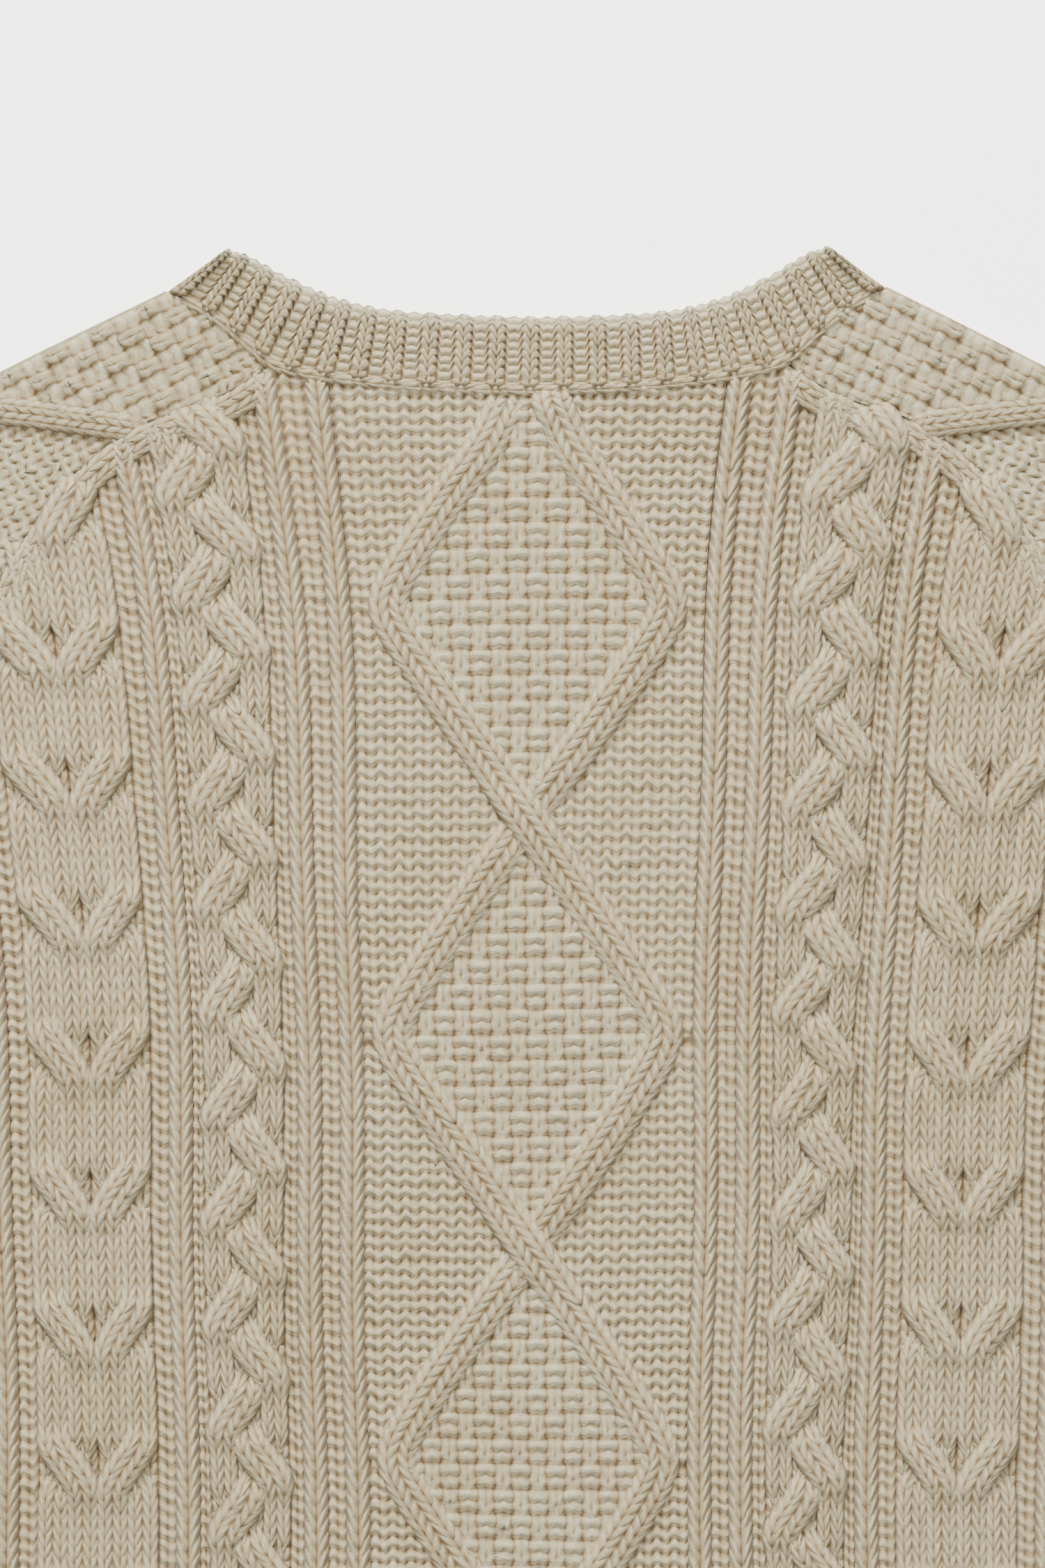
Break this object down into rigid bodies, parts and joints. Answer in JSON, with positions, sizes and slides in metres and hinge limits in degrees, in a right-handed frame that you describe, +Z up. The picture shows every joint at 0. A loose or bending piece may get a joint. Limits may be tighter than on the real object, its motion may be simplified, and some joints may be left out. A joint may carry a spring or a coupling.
{
  "type": "cable knit sweater",
  "caption": "Crew neck pullover laid flat with its back up, knitted with diamond, plait and horseshoe cables, saddle shoulders and ribbed neck, cuffs and hem.",
  "frame": {"origin": "centre of the laid-out garment's bounding box, on the surface that it lies on", "axes": "+Z up from the surface, +Y towards the neck, +X towards the wearer's right sleeve as seen from the back"},
  "size_m": [1.147, 0.6486, 0.0108],
  "materials": {
    "wool_knit": "matt ecru wool, loosely plied"
  },
  "bodies": {
    "root": {"back_panel": "wool_knit", "front_panel": "wool_knit", "sleeve_left": "wool_knit", "sleeve_right": "wool_knit", "neckband": "wool_knit"}
  },
  "joints": []
}
